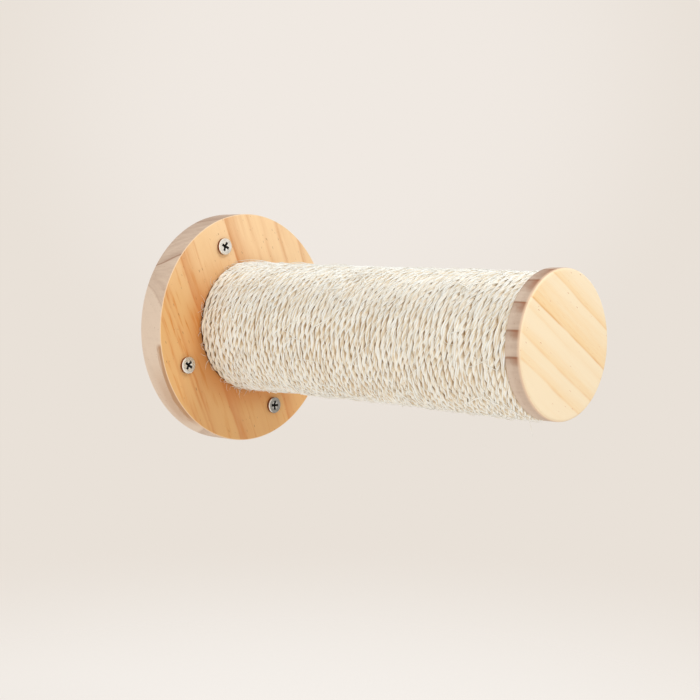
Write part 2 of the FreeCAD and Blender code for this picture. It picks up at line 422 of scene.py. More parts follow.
def pine(name, radius, front, board, wood):
    """Pine disc: growth rings on its faces, end grain on its rim, and on its edges sanded wood with a
    painted highlight.

    The board gives the disc's own grain, rings and colours, and where its rim is darker. Lengths are in
    millimetres, depth counts from the front face and inset from the rim.
    """
    finish, x, y, z = new_finish(name)
    smooth = finish.smooth
    mix = finish.mix
    depth = y - front / MM
    along = x * math.cos(board.grain) + z * math.sin(board.grain)
    across = x * -math.sin(board.grain) + z * math.cos(board.grain)

    def figure(run, width, thick, detail, roughness=0.5):
        """Noise with its own scale along the grain, across it and into the board."""
        return finish.noise(along * run, across * width, depth * thick, detail, roughness)

    drift = figure(0.016, 0.03, 0.03, 1.0)
    slant = smooth(across, *board.slant)
    waver = figure(0.07, 0.06, 0.06, 2.0)
    place = across + depth * slant + (drift - 0.5) * board.drift + (waver - 0.5) * board.waver
    half_width = radius / MM + 8

    fade = figure(0.04, 0.08, 0.03, 1.0)
    fade = smooth(fade, 0.36, 0.62, 0.2, 1.0)
    line, dark = ring_maps(finish, place, board.rings, half_width)
    streak = figure(0.022, 0.4, 0.4, 3.0, 0.55)
    fine = figure(0.06, 2.6, 2.6, 2.0)
    dash = smooth(figure(0.13, 1.7, 1.7, 1.0), 0.6, 0.72)
    pin = smooth(figure(0.28, 1.5, 1.5, 0.0), *board.pins)
    flame = figure(0.028, 0.3, 0.3, 3.0, 0.6)
    flame = smooth(flame, 0.52, 0.69) * board.flame * smooth(z, -50, -10, 0.5, 1.0)
    cloud = figure(0.02, 0.045, 0.04, 1.0)
    paler = smooth(x * 0.005 + z * 0.0115 + (cloud - 0.5) * 0.5, -0.3, 0.75)
    body = mix(paler, board.early, board.sap)
    tone_share = dark * 0.85 + (streak - 0.5) * 0.5 + (cloud - 0.5) * 0.3 + (fine - 0.5) * 0.25
    body = mix(smooth(tone_share, -0.1, 0.95), body, board.late)
    body = mix(flame * (1 - paler), body, wood.plate_flame)
    body = mix(line * fade * 0.8 + dash * dark * 0.35, body, board.line)
    body = mix(pin * 0.75, body, board.pin)
    reach = (x * x + z * z) ** 0.5
    # Painted shade: near the post the front face is darkened towards the ring-line colour, most at the lower
    # left, where the post shades the plate
    gathered = smooth(reach, *board.gathered, 1.0, 0.0) * smooth(x + z, -40, 40, 0.55, 0.0)
    body = mix(gathered * smooth(depth, 1, 3, 1.0, 0.0), body, board.line)

    rim_line, rim_dark = ring_maps(finish, place, board.rim_rings, half_width)
    tick = figure(0.7, 0.7, 0.1, 3.0, 0.65)
    low_left = smooth(z, *board.band_height, 1.0, 0.0) * smooth(z, -61, -50)
    low_left = low_left * smooth(across, *board.band_side, 1.0, 0.0)
    under = depth + z * board.band_slope + (cloud - 0.5) * 3 + (streak - 0.5) * 7
    front_band = smooth(under, *board.band_edge, 1.0, 0.0) * low_left
    tinge = smooth(under, 7, 17, 0.5, 0.0) * low_left * smooth(z, -40, -12, 1.0, 0.0)
    vein = finish.noise(place * 0.4, depth * 0.03, along * 0.01, detail=3.0, roughness=0.6)
    rim_share = rim_dark * (0.8 + front_band * 0.3) + (tick - 0.5) * 0.4 + (vein - 0.5) * 0.5
    rim_share = rim_share + front_band * board.band
    for low, high, step in board.steps:
        rim_share = rim_share + smooth(place, low, high, 0.0, step)
    end_grain = mix(smooth(rim_share, -0.1, 0.95), board.rim_early, wood.rim_late)
    end_grain = mix(front_band.largest(tinge) * board.heart, end_grain, wood.rim_band)
    end_grain = mix(rim_line * 0.85, end_grain, wood.rim_line)
    stain_and_shade = rim_dark * smooth(depth + (tick - 0.5) * 6, 2.5, 7.0, board.stain_and_shade, 0.0)
    end_grain = mix(stain_and_shade, end_grain, wood.stain_and_shade)
    speck = smooth(finish.noise(x * 0.9, depth * 0.9, z * 0.9, detail=1.0), 0.68, 0.76)
    end_grain = mix(speck * 0.3, end_grain, wood.rim_line)
    end_grain = mix(smooth(depth, *board.soft, 0.8, 0.0), end_grain, wood.rim_edge)

    inset = radius / MM - reach
    rim = smooth(inset, *board.rim, 1.0, 0.0)
    back = smooth(depth, 4, 6) * smooth(inset, 1.3, 1.6, 1.0, 0.0)
    rim = rim.largest(back)
    # Partly painted highlight: a pale line of sanded wood along the face's edge
    face_with_edge = mix(smooth(inset, *board.edge, 0.6, 0.0), body, wood.edge)
    finish.bump(fine * 0.5 + streak * 0.5 - line * 0.3, 0.0001)
    return finish.set(
        Base_Color=mix(rim, face_with_edge, end_grain),
        Roughness=0.44 + rim * 0.22 + fine * 0.08,
        Specular_IOR_Level=0.35,
    )


def plain_wood(name, shade):
    """Bare turned wood with a fine grain along the post."""
    finish, x, y, z = new_finish(name)
    grain = finish.noise(x * 0.9, y * 0.02, z * 0.9, detail=3.0)
    finish.bump(grain, 0.0001)
    return finish.set(
        Base_Color=finish.mix(grain, scaled(shade, 1.15), scaled(shade, 0.72)), Roughness=0.6 + grain * 0.1
    )


def sisal(name, rope, bright, straw):
    """Sisal twine: fibres along each ply, paler on the crowns and brown between the turns, where the brown
    is partly the fibre's own tan and partly painted shade.
    """
    finish, x, y, z = new_finish(name)
    strand = finish.add("ShaderNodeAttribute", {"attribute_name": "strand"}, output="Vector")
    along, side, front = finish.split(strand)
    crown = finish.add("ShaderNodeAttribute", {"attribute_name": "crown"}, output="Fac")
    hair = finish.noise(along * 0.14, side * 2.2, front * 2.2, detail=3.0, roughness=0.65)
    batch = finish.noise(along * 0.12, side * 0.6, front * 0.6, detail=1.0)
    # Partly painted shade: straw streaks grow the lower a point sits in the winding
    streak = finish.smooth(hair * 0.4 + batch * 0.6 + (0.92 - crown) * 0.7, 0.48, 0.62)
    body = finish.mix(streak * 0.85, bright, straw)
    # Painted shade: a greyer band high on the winding, between about 8 and 33 mm above the middle
    shoulder = finish.smooth(z, 8, 18, 0.0, 0.28) * finish.smooth(z, 26, 33, 1.0, 0.0)
    body = finish.mix(shoulder, body, rope.shoulder_shade)
    patch = finish.noise(x * 0.06, y * 0.08, z * 0.06, detail=2.0)
    # Partly painted shade: the lower a point sits in the winding, the more it takes the gap colour
    depth = finish.smooth(crown + (hair - 0.5) * 0.3 + (patch - 0.5) * 0.2, 0.5, 0.88)
    # Painted light: the gaps between the turns are paler towards the cap and on the upper side of the
    # winding
    painted_crease_light = finish.smooth(y, cap_back_mm, plate_front_mm, 0.36, 0.0)
    painted_crease_light = painted_crease_light + finish.smooth(z, 0, 25, 0.0, 0.3)
    deep = finish.mix(painted_crease_light, rope.gap, rope.ply)
    # Painted shade: beside the plate, most at the lower left, the fibre is darkened towards the straw colour
    # and the gaps towards the seam colour, where plate and twine shade each other
    corner = finish.smooth(y, plate_front_mm - 13, plate_front_mm - 1)
    corner = corner * finish.smooth(x + z, -30, 25, 1.0, 0.2)
    body = finish.mix(corner * 0.45, body, rope.inner)
    deep = finish.mix(corner * 0.6, deep, rope.seam)
    finish.bump(hair, 0.00012)
    return finish.set(
        Base_Color=finish.mix(depth, deep, body),
        Roughness=0.42 + streak * 0.15,
        Specular_IOR_Level=0.8,
    )


def loose_fibre(name, rope):
    """Single fibres that stand off the twine, pale with straw-coloured stretches, and with painted shade
    beside the plate.
    """
    finish, x, y, z = new_finish(name)
    tint = finish.noise(x * 0.2, y * 0.2, z * 0.2, detail=2.0)
    body = finish.mix(finish.smooth(tint, 0.45, 0.7), rope.crown, rope.shade)
    # Painted shade: fibres within a few millimetres of the plate are tinted towards the straw colour
    beside = finish.smooth(y, plate_front_mm - 5, plate_front_mm - 1.5)
    return finish.set(
        Base_Color=finish.mix(beside * 0.5, body, rope.inner),
        Roughness=0.5 + tint * 0.2,
    )


def matted(name, shade, seam):
    """Matted fibre under the twine, with painted shadow in the seam beside the plate."""
    finish, x, y, z = new_finish(name)
    felt = finish.noise(x * 0.6, y * 1.4, z * 0.6, detail=4.0, roughness=0.7)
    # Painted shadow: the collar by the plate takes the seam colour
    beside = finish.smooth(y, plate_front_mm - 1.6, plate_front_mm - 0.9)
    body = finish.mix(felt, scaled(shade, 0.75), shade)
    finish.bump(felt, 0.0004)
    return finish.set(Base_Color=finish.mix(beside, body, seam), Roughness=0.8 + felt * 0.1)


def metal(name, shade, roughness, head=None):
    """Plated or turned metal with faint smears and pits.

    A screw's head has a painted reflection that sets its brightness, painted highlights at its left edge and
    round the recess, and painted shade and reflection of the wood where it meets the plate's face.
    """
    finish, x, y, z = new_finish(name)
    smear = finish.noise(x * 0.35, y * 0.35, z * 0.35, detail=3.0)
    pit = finish.noise(x * 1.7, y * 1.7, z * 1.7, detail=2.0)
    wear = finish.smooth(smear * 0.5 + pit * 0.5, 0.3, 0.55)
    body = finish.mix(wear, scaled(shade, 0.62), shade)
    bright = 1.0
    if head:
        middle_x, middle_z, stain_and_shade, painted_reflection = head
        front = plate_front_mm
        face = finish.mix(wear, scaled(shade, 0.62 * painted_reflection), scaled(shade, painted_reflection))
        aside = x - middle_x / MM
        rise = z - middle_z / MM
        reach = (aside * aside + rise * rise) ** 0.5
        # Painted highlights: a bright crescent on the head's left edge and a bright ring round the recess,
        # less metallic there
        painted_glint = finish.smooth(reach, 4.2, 4.6) * finish.smooth(aside, -3.5, -1.5, 0.8, 0.0)
        painted_glint = painted_glint + finish.smooth(reach + (smear - 0.5) * 3, 1.4, 2.6, 0.75, 0.0)
        face = finish.mix(painted_glint, face, scaled(shade, 1.3))
        body = finish.mix(finish.smooth(y, front - 1, front + 1), face, body)
        # Painted shade and reflection: near the plate's face the head's side and shank turn brown and less
        # metallic, standing for their shadow and the wood they mirror
        painted_head_shade = finish.smooth(y, front - 1.7, front - 1.4) * finish.smooth(y, front + 2, front + 3, 1.0, 0.0)
        body = finish.mix(painted_head_shade, body, stain_and_shade)
        bright = 1 - (painted_head_shade * 0.9).largest(painted_glint * 0.6)
    finish.bump(pit, 0.00004)
    return finish.set(
        Base_Color=body,
        Metallic=bright,
        Roughness=roughness + (smear - 0.5) * 0.2 + (pit - 0.5) * 0.15,
    )


def dark_film(name, shade):
    """Dull dark film in a recess, as painted shade."""
    finish, x, y, z = new_finish(name)
    shade_film = finish.noise(x * 1.5, y * 1.5, z * 1.5, detail=2.0)
    return finish.set(
        Base_Color=finish.mix(shade_film, shade, scaled(shade, 1.8)), Roughness=0.7 + shade_film * 0.2
    )


def pick(piece):
    """Make a piece the active one and the only one selected."""
    bpy.ops.object.select_all(action="DESELECT")
    piece.select_set(True)
    bpy.context.view_layer.objects.active = piece


@contextmanager
def editing(piece, selection="SELECT"):
    """Edit mode of a piece, with all or none of it selected, or with what is selected already."""
    pick(piece)
    bpy.ops.object.mode_set(mode="EDIT")
    if selection:
        bpy.ops.mesh.select_all(action=selection)
    yield
    bpy.ops.object.mode_set(mode="OBJECT")


def select_only(piece, kind, wanted):
    """Select the wanted edges or faces of a piece and nothing else."""
    with editing(piece, "DESELECT"):
        bpy.ops.mesh.select_mode(type=kind)
    for part in piece.data.edges if kind == "EDGE" else piece.data.polygons:
        part.select = wanted(part)


def lathe(name, rings, segments, x=0.0, z=0.0):
    """Closed piece along Y: a disc extruded through rings of radius, y and, if given, rise."""
    rings = [(radius, (x, y, z + sum(rise))) for radius, y, *rise in rings]
    radius, middle = rings[0]
    bpy.ops.mesh.primitive_circle_add(
        vertices=segments, radius=radius, fill_type="NGON",
        location=middle, rotation=(math.pi / 2, math.pi / 2, 0),
    )
    piece = bpy.context.object
    piece.name = name
    bpy.ops.object.transform_apply()
    with editing(piece):
        for next_radius, next_middle in rings[1:]:
            move = [after - before for before, after in zip(middle, next_middle)]
            bpy.ops.mesh.extrude_region_move(TRANSFORM_OT_translate={"value": move})
            scale = next_radius / radius
            bpy.ops.transform.resize(value=(scale, 1, scale), center_override=next_middle)
            radius, middle = next_radius, next_middle
        bpy.ops.mesh.select_all(action="SELECT")
        bpy.ops.mesh.remove_doubles(threshold=1e-7)
        bpy.ops.mesh.normals_make_consistent(inside=False)
    return piece


def combine(piece, other, operation):
    """Apply a Boolean with another piece, clean the mesh and delete the other piece."""
    pick(piece)
    cut = piece.modifiers.new("Cut", "BOOLEAN")
    cut.operation = operation
    cut.solver = "EXACT"
    cut.material_mode = "TRANSFER"
    cut.object = other
    bpy.ops.object.modifier_apply(modifier=cut.name)
    with editing(piece):
        bpy.ops.mesh.remove_doubles(threshold=1e-6)
        bpy.ops.mesh.dissolve_degenerate(threshold=1e-6)
    pick(other)
    bpy.ops.object.delete()


def drill(piece, radius, start, end, x=0.0, z=0.0, segments=48):
    """Cut a round hole along Y."""
    combine(piece, lathe("drill", [(radius, start), (radius, end)], segments, x, z), "DIFFERENCE")


def round_edges(piece, offset, segments, radius):
    """Bevel the round edges of a turned piece at a radius."""

    def on_rim(edge):
        start, end = [piece.data.vertices[index].co for index in edge.vertices]
        level = abs(start.y - end.y) < 1e-6
        return level and min(math.hypot(co.x, co.z) for co in (start, end)) > radius - 1e-5

    select_only(piece, "EDGE", on_rim)
    with editing(piece, None):
        bpy.ops.mesh.bevel(offset=offset, segments=segments, affect="EDGES")


def smooth_shade(piece):
    """Smooth the round faces and keep the sharp edges."""
    pick(piece)
    bpy.ops.object.shade_smooth_by_angle(angle=math.radians(35))


def hand_over(piece, material, slot, *nodes):
    """Give a finished piece its material and its place in the frame."""
    if material:
        piece.data.materials.clear()
        piece.data.materials.append(material)
    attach(piece, "root")
    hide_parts(*nodes)


def dress(node, material):
    """Give a solid that stays as it is a better material."""
    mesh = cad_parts[node].data
    mesh.materials.clear()
    mesh.materials.append(material)


def node_place(node):
    """Middle of a node in x and z, its radius there, and its lowest and highest y."""
    low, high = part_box(node)
    return (low.x + high.x) / 2, (low.z + high.z) / 2, (high.x - low.x) / 2, low.y, high.y


def soft_step(value):
    """Eased step from 0 to 1."""
    value = np.clip(value, 0, 1)
    return value * value * (3 - 2 * value)


def unit(vectors):
    """Vectors in rows, each at length one."""
    return vectors / np.linalg.norm(vectors, axis=1)[:, None]


def wander(rng, count, knots, amount):
    """Smooth seeded noise: random knots joined by eased steps."""
    heights = rng.uniform(-amount, amount, knots)
    place = np.linspace(0, knots - 1.001, count)
    low = place.astype(int)
    ease = soft_step(place - low)
    return heights[low] * (1 - ease) + heights[low + 1] * ease


def winding_radius(rope, reach):
    """Outside radius of the winding at a distance from the plate."""
    return rope.waist_radius + rope.plate_swell * np.exp(-reach / SWELL_REACH)


def winding_lean(rope, reach):
    """Rise of the winding's axis at a distance from the plate."""
    return rope.lean_plate + (rope.lean_cap - rope.lean_plate) * reach / post_length


def twine_line(rope, rng):
    """Middle line of the twine and its outward directions, from tail to tail.

    The first and last turns lie level against the plate and the cap and climb in a short stretch on
    the upper right; the turns between them are a plain helix.
    """
    laps = round(post_length / rope.pitch) - 1
    pitch = (post_length - rope.pitch - rope.plate_gap) / laps
    turns = laps + 1 - CLIMB_TURNS
    run = (turns + 2 * TAIL_TURNS) * 2 * math.pi * rope.waist_radius
    count = int(run / rope.step)
    turn = np.linspace(-TAIL_TURNS, turns + TAIL_TURNS, count)
    wound = np.clip(turn, 0, turns)
    lap = np.floor(wound)
    level = lap + soft_step((wound - lap - 1 + CLIMB_TURNS) / CLIMB_TURNS)
    from_end = np.minimum(wound, turns - wound)
    tight = 1 - soft_step((from_end - 0.5) / 7)
    climb = level * tight + (wound - 0.25) * (1 - tight)
    inner = soft_step(from_end / 1.5)
    reach = rope.pitch / 2 + rope.plate_gap + climb * pitch + wander(rng, count, laps * 6, 0.2 * MM) * inner
    sunk = TAIL_SINK * soft_step(np.abs(turn - wound) / TAIL_TURNS)
    radius = winding_radius(rope, reach) - rope.ply_radius - rope.ply_offset - sunk
    radius += wander(rng, count, laps * 7, 0.18 * MM)
    angle = START_ANGLE + 2 * math.pi * turn
    outward = np.stack([np.cos(angle), np.zeros(count), np.sin(angle)], 1)
    points = outward * radius[:, None]
    points[:, 1] = plate_front - reach
    points[:, 2] += winding_lean(rope, reach)
    return points, outward


def tubes(name, lines, radii, sides_level, thickness=1.0):
    """Mesh of round tubes along lines of points, from one bevelled curve."""
    curve = bpy.data.curves.new(name, "CURVE")
    curve.dimensions = "3D"
    curve.bevel_depth = thickness
    curve.bevel_resolution = sides_level
    for line, radius in zip(lines, radii):
        spline = curve.splines.new("POLY")
        spline.points.add(len(line) - 1)
        spline.points.foreach_set("co", np.column_stack([line, np.ones(len(line))]).ravel())
        spline.points.foreach_set("radius", np.asarray(radius, float))
    piece = bpy.data.objects.new(name, curve)
    bpy.context.scene.collection.objects.link(piece)
    pick(piece)
    bpy.ops.object.convert(target="MESH")
    return bpy.context.object


def close_ends(piece):
    """Fill the open ends of tubes and smooth them."""
    with editing(piece):
        bpy.ops.mesh.fill_holes(sides=0)
        bpy.ops.mesh.select_all(action="SELECT")
        bpy.ops.mesh.normals_make_consistent(inside=False)
    bpy.ops.object.shade_smooth()


def points_of(piece):
    """Array of a mesh's points."""
    place = np.zeros(len(piece.data.vertices) * 3)
    piece.data.vertices.foreach_get("co", place)
    return place.reshape(-1, 3)


def shape_ply(piece, middle, lumps):
    """Give a round ply the lumps of its fibre bundles, along its own length."""
    sides = lumps.shape[1]
    centre = np.repeat(middle, sides, axis=0)
    place = centre + (points_of(piece) - centre) * (1 + lumps.reshape(-1, 1))
    piece.data.vertices.foreach_set("co", place.ravel())
    piece.data.update()


def mark_strands(piece, rope, runs, sides, middle=None, aside=None):
    """Store each tube's own coordinates, and how far each point stands out of the winding.

    With a ply's middle line and its direction from the twine's, a point that faces the other ply
    counts as low, so it takes the partly painted shade between the plies.
    """
    place = points_of(piece)
    count = len(place)
    around = np.tile(np.arange(sides) * 2 * math.pi / sides, count // sides)
    strand = np.stack([np.repeat(runs, sides) / MM, np.cos(around), np.sin(around)], 1)
    reach = plate_front - place[:, 1]
    out = np.hypot(place[:, 0], place[:, 2] - winding_lean(rope, reach))
    crown = 1 + (out - winding_radius(rope, reach)) / (2 * rope.ply_radius + 2 * rope.ply_offset)
    if middle is not None:
        facing = unit(place - np.repeat(middle, sides, axis=0))
        apart = np.sum(facing * np.repeat(aside, sides, axis=0), axis=1)
        crown *= 0.8 + 0.2 * soft_step((apart + 0.45) / 0.8)
    mesh = piece.data
    mesh.attributes.new("strand", "FLOAT_VECTOR", "POINT").data.foreach_set("vector", strand.ravel())
    mesh.attributes.new("crown", "FLOAT", "POINT").data.foreach_set("value", crown)


def underlay(rope):
    """Sleeve of matted fibre between the core and the twine, with a collar against the plate."""
    collar = 1.0 * MM
    rest = post_length - collar - 0.1 * MM
    stations = [0.05 * MM, collar, collar]
    stations += [collar + rest * part / 24 for part in range(1, 25)]
    rings = []
    for number, reach in enumerate(stations):
        sunk = collar if number < 2 else rope.pitch * 0.48
        radius = float(winding_radius(rope, reach)) - sunk
        rings.append((radius, plate_front - reach, winding_lean(rope, reach)))
    sleeve = lathe("winding_underlay", rings, 96)
    hollow = core_radius + 0.2 * MM
    drill(sleeve, hollow, plate_front + CUT_PAST, cap_back - CUT_PAST, segments=96)
    smooth_shade(sleeve)
    return sleeve


class SCRATCHER_OT_base_plate(bpy.types.Operator):
    """Model the round pine plate with its screw holes, bolt pocket and sanded edges"""

    bl_idname = "scratcher.base_plate"
    bl_label = "Base Plate"

    def execute(self, context):
        wood = context.scene.scratcher_wood
        piece = lathe("plate", [(plate_radius, 0), (plate_radius, plate_front)], 192)
        round_edges(piece, wood.edge_round, 4, plate_radius)
        _, _, washer_radius, washer_low, _ = node_place("clamp_washer")
        drill(piece, washer_radius + 0.5 * MM, CUT_PAST, washer_low)
        drill(piece, BOLT_HOLE, CUT_PAST, plate_front - CUT_PAST)
        for side in ("left", "right"):
            x, z, radius, _, high = node_place("base_dowel_" + side)
            drill(piece, radius + DOWEL_PLAY, plate_front - CUT_PAST, high + DOWEL_END, x, z)
        for number in range(1, len(SCREWS) + 1):
            x, z, head, _, _ = node_place("wall_screw_%d" % number)
            mouth = head - 1.0 * MM
            sink = lathe("screw_hole", [
                (SCREW_HOLE, CUT_PAST),
                (SCREW_HOLE, plate_front + mouth - SCREW_HOLE),
                (mouth, plate_front),
                (mouth, plate_front - CUT_PAST),
            ], 48, x, z)
            combine(piece, sink, "DIFFERENCE")
        smooth_shade(piece)
        board = SimpleNamespace(
            grain=wood.plate_grain, slant=(-50, -36, -0.5, 0.5), drift=6.0, waver=1.8,
            rings=PLATE_RINGS, rim_rings=PLATE_RIM_RINGS,
            early=wood.plate_early, sap=wood.plate_sap, late=wood.plate_late,
            line=wood.plate_line, pin=wood.pin, pins=(0.79, 0.82),
            # The plate's face gets painted shade round the post, fading out from 40 to 56 mm off its middle
            flame=0.8, gathered=(40, 56), stain_and_shade=0.0,
            rim_early=wood.plate_rim, soft=(0.1, 0.6), rim=(0.08, 0.25), edge=(0.35, 0.6),
            steps=((-58.5, -57.5, 0.36), (-31, 6, 0.15)),
            band=0.1, heart=0.9, band_slope=0.06, band_side=(-60, -46),
            band_edge=(1.0, 4.4), band_height=(-9, -6),
        )
        material = pine("plate_pine", plate_radius, plate_front, board, wood)
        hand_over(piece, material, "pine", "base_plate")
        return {"FINISHED"}


class SCRATCHER_OT_end_cap(bpy.types.Operator):
    """Model the round pine cap with its sanded edges"""

    bl_idname = "scratcher.end_cap"
    bl_label = "End Cap"

    def execute(self, context):
        wood = context.scene.scratcher_wood
        piece = lathe("cap", [(cap_radius, cap_back), (cap_radius, cap_front)], 160)
        round_edges(piece, wood.cap_round, 6, cap_radius)
        for side in ("left", "right"):
            x, z, radius, low, _ = node_place("cap_dowel_" + side)
            drill(piece, radius + DOWEL_PLAY, cap_back + CUT_PAST, low - DOWEL_END, x, z)
        smooth_shade(piece)
        board = SimpleNamespace(
            grain=wood.cap_grain, slant=(-40, 40, 0.03, 0.03), drift=3.0, waver=0.6,
            rings=CAP_RINGS, rim_rings=CAP_RIM_RINGS,
            early=wood.cap_early, sap=wood.cap_early, late=wood.cap_late,
            line=wood.cap_line, pin=wood.plate_line, pins=(0.81, 0.84),
            flame=0.0, gathered=(-2, -1), stain_and_shade=0.85,
            rim_early=wood.cap_rim, soft=(0.6, 2.6), rim=(0.12, 0.4), edge=(0.7, 1.0),
            steps=((-60, -50, 0.06), (4, 16, 0.3), (28, 36, -0.3)),
            band=0.3, heart=0.0, band_slope=0.0, band_side=(60, 61),
            band_edge=(3.0, 8.0), band_height=(60, 61),
        )
        material = pine("cap_pine", cap_radius, cap_front, board, wood)
        hand_over(piece, material, "pine", "end_cap")
        return {"FINISHED"}


class SCRATCHER_OT_winding(bpy.types.Operator):
    """Wind the two plies of the sisal twine over a matted underlay"""

    bl_idname = "scratcher.winding"
    bl_label = "Winding"

    def execute(self, context):
        rope = context.scene.scratcher_rope
        rng = np.random.default_rng(rope.seed)
        line, outward = twine_line(rope, rng)
        count = len(line)
        way = np.gradient(line, axis=0)
        steps = np.linalg.norm(way, axis=1)
        way /= steps[:, None]
        run = np.cumsum(steps)
        out = unit(outward - way * np.sum(outward * way, axis=1)[:, None])
        side = np.cross(way, out)
        twist = 2 * math.pi * run / rope.lay + wander(rng, count, count // 14, 2.8)
        ply_look = sisal("sisal_ply", rope, rope.ply, rope.inner)
        yarn_look = sisal("sisal_yarn", rope, rope.crown, rope.shade)
        sides = 10
        for number, phase in enumerate((0.0, math.pi), start=1):
            turn = (twist + phase)[:, None]
            aside = out * np.cos(turn) * rope.ply_offset + side * np.sin(turn) * rope.ply_spread
            middle = line + aside * (1 + wander(rng, count, count // 9, 0.3))[:, None]
            thickness = 1 + wander(rng, count, count // 10, 0.1)
            piece = tubes("twine_ply_%d" % number, [middle], [thickness], (sides - 4) // 2, rope.ply_radius)
            lumps = [wander(rng, count, count // 5, 0.17) for _ in range(sides)]
            shape_ply(piece, middle, np.stack(lumps, 1))
            mark_strands(piece, rope, run, sides, middle, unit(aside))
            close_ends(piece)
            hand_over(piece, ply_look, "sisal", "sisal_rope")
            for pair in range(2):
                lines = []
                radii = []
                for place in (2 * pair, 2 * pair + 1):
                    heading = place * math.pi / 2 + turn[:, 0] * rope.yarn_twist
                    heading = (heading + wander(rng, count, count // 8, 0.35))[:, None]
                    rise = rope.ply_radius * (1.0 + wander(rng, count, count // 4, 0.24))
                    lines.append(middle + (out * np.cos(heading) + side * np.sin(heading)) * rise[:, None])
                    radii.append(1 + wander(rng, count, count // 4, 0.5))
                piece = tubes("twine_yarns_%d_%d" % (number, pair + 1), lines, radii, 0, rope.yarn_radius)
                shift = 60 * number + 20 * pair
                runs = np.concatenate([run + shift, run + shift + 10])
                mark_strands(piece, rope, runs, 4)
                close_ends(piece)
                hand_over(piece, yarn_look, "sisal", "sisal_rope")
        sleeve = underlay(rope)
        hand_over(sleeve, matted("matted_fibre", rope.gap, rope.seam), "sisal", "sisal_rope")
        return {"FINISHED"}


class SCRATCHER_OT_fibres(bpy.types.Operator):
    """Scatter stray fibres over the winding, with loose tufts beside the plate"""

    bl_idname = "scratcher.fibres"
    bl_label = "Stray Fibres"

    def execute(self, context):
        rope = context.scene.scratcher_rope
        rng = np.random.default_rng(rope.seed + 1)
        lines = []
        radii = []
        points = 7
        part = np.linspace(0, 1, points)
        for number in range(rope.fibres):
            size = rng.uniform(3, 9) * MM
            lift = rng.uniform(0.0, 0.5) * MM
            reach = rng.uniform(0.004, post_length - 0.003)
            slant = rng.normal(0.25, 0.35)
            bend = rng.normal(0, 0.6)
            angle = rng.uniform(0, 2 * math.pi)
            thickness = rng.uniform(0.1, 0.17) * MM
            if number % LONG_STEP == 3:
                size = rng.uniform(11, 26) * MM
                slant = rng.uniform(-1.4, 1.4)
                lift = rng.uniform(0.4, 1.2) * MM
                thickness = rng.uniform(0.2, 0.28) * MM
            if number % TUFT_STEP == 0:
                middle, spread = TUFTS[number // TUFT_STEP % len(TUFTS)]
                angle = math.radians(rng.normal(middle, spread))
                reach = rng.uniform(0.5, 4) * MM
                slant = -math.pi / 2 + rng.normal(0, 0.7)
                bend = rng.normal(0, 1.8)
                size = rng.uniform(2.5, 7) * MM
                thickness = rng.uniform(0.09, 0.14) * MM
            heading = slant + bend * part
            along = reach + np.concatenate([[0], np.cumsum(np.sin(heading[1:]))]) * size / (points - 1)
            around = np.concatenate([[0], np.cumsum(np.cos(heading[1:]))]) * size / (points - 1)
            inside = np.clip(along, 0.35 * MM, post_length - 0.35 * MM)
            surface = winding_radius(rope, inside)
            angle = angle + rng.choice((-1, 1)) * around / surface
            out = surface + 0.3 * MM + lift * np.sin(part * math.pi * rng.uniform(0.5, 1.0))
            out += np.abs(along - inside)
            line = np.stack([out * np.cos(angle), plate_front - inside, out * np.sin(angle)], 1)
            line[:, 2] += winding_lean(rope, inside)
            lines.append(line)
            radii.append(thickness * (1 - 0.6 * part ** 2))
        piece = tubes("stray_fibres", lines, radii, 0)
        close_ends(piece)
        hand_over(piece, loose_fibre("loose_fibre", rope), "sisal", "sisal_rope")
        return {"FINISHED"}


def cross_cutter(look, x, z, top, turn, material):
    """Two tapered wings at right angles, to cut a screw's recess with."""
    over = 0.1 * MM
    depth = look.recess_depth + over
    floor = top + look.recess_depth
    wings = []
    for quarter in (0.0, 90.0):
        bpy.ops.mesh.primitive_cube_add(
            size=1, location=(x, top - over + depth / 2, z),
            scale=(look.recess_span, depth, look.recess_width),
            rotation=(0, -math.radians(turn + quarter), 0),
        )
        wing = bpy.context.object
        bpy.ops.object.transform_apply()
        select_only(wing, "FACE", lambda face: abs(face.center.y - floor) < 1e-5)
        with editing(wing, None):
            bpy.ops.transform.resize(value=(0.4, 1, 0.4), center_override=(x, floor, z))
        wing.data.materials.append(material)
        wings.append(wing)
    combine(wings[0], wings[1], "UNION")
    return wings[0]


def screw_thread(look, x, z, start, tip, radius, taper):
    """Helical ridge of a wood screw, drawn in towards the tip."""
    bpy.ops.mesh.primitive_circle_add(
        vertices=3, radius=1, fill_type="NOTHING", rotation=(0, 0, -math.pi / 2)
    )
    ridge = bpy.context.object
    bpy.ops.object.transform_apply()
    height = look.thread_depth + 0.15 * MM
    width = 0.55 * look.thread_pitch
    for vertex in ridge.data.vertices:
        vertex.co.x = radius - height + (vertex.co.x + 0.5) / 1.5 * height
        vertex.co.y *= width / math.sqrt(3)
    screw = ridge.modifiers.new("Thread", "SCREW")
    screw.axis = "Y"
    screw.screw_offset = look.thread_pitch
    screw.iterations = int((tip - start) / look.thread_pitch)
    screw.steps = 20
    screw.render_steps = 20
    screw.use_normal_calculate = True
    bpy.ops.object.modifier_apply(modifier=screw.name)
    shift = start - min(vertex.co.y for vertex in ridge.data.vertices)
    for vertex in ridge.data.vertices:
        vertex.co.y += shift
        shrink = min(1.0, max(0.12, (tip - vertex.co.y) / taper))
        vertex.co.x = x + vertex.co.x * shrink
        vertex.co.z = z + vertex.co.z * shrink
    close_ends(ridge)
    return ridge


